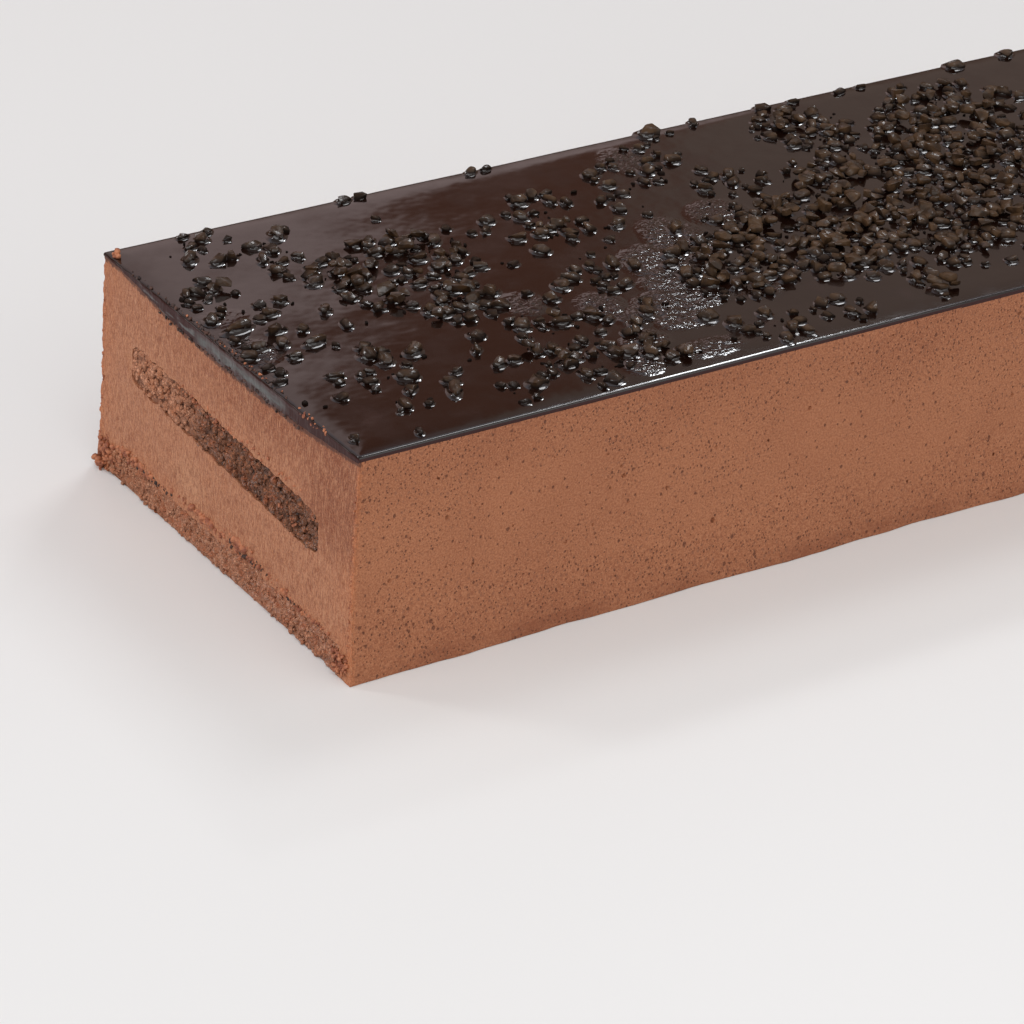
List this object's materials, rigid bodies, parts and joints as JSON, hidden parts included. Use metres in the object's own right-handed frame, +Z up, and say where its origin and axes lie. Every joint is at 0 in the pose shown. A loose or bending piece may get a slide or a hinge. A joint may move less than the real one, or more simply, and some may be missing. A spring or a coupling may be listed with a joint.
{
  "type": "chocolate log cake",
  "caption": "Rectangular chocolate mousse log cake, cut square at both ends, with a sponge base, a sponge strip inside and a dark mirror glaze with cocoa nibs.",
  "frame": {"origin": "under the middle of the cake, on the surface that it stands on", "axes": "+X along the log towards the cut that the picture doesn't show, +Y across it, +Z up; the cut that shows faces -X and the long side that shows faces -Y"},
  "size_m": [0.2988, 0.1028, 0.0511],
  "materials": {
    "base_sponge": "matte baked chocolate sponge, open crumb",
    "insert_sponge": "moist dark chocolate sponge, open crumb",
    "mousse": "matte milk chocolate mousse with fine pores",
    "glaze": "very dark chocolate mirror glaze with glossy cocoa nibs"
  },
  "bodies": {
    "root": {"base_sponge": "base_sponge", "insert_sponge": "insert_sponge", "mousse": "mousse", "glaze": "glaze"}
  },
  "joints": []
}
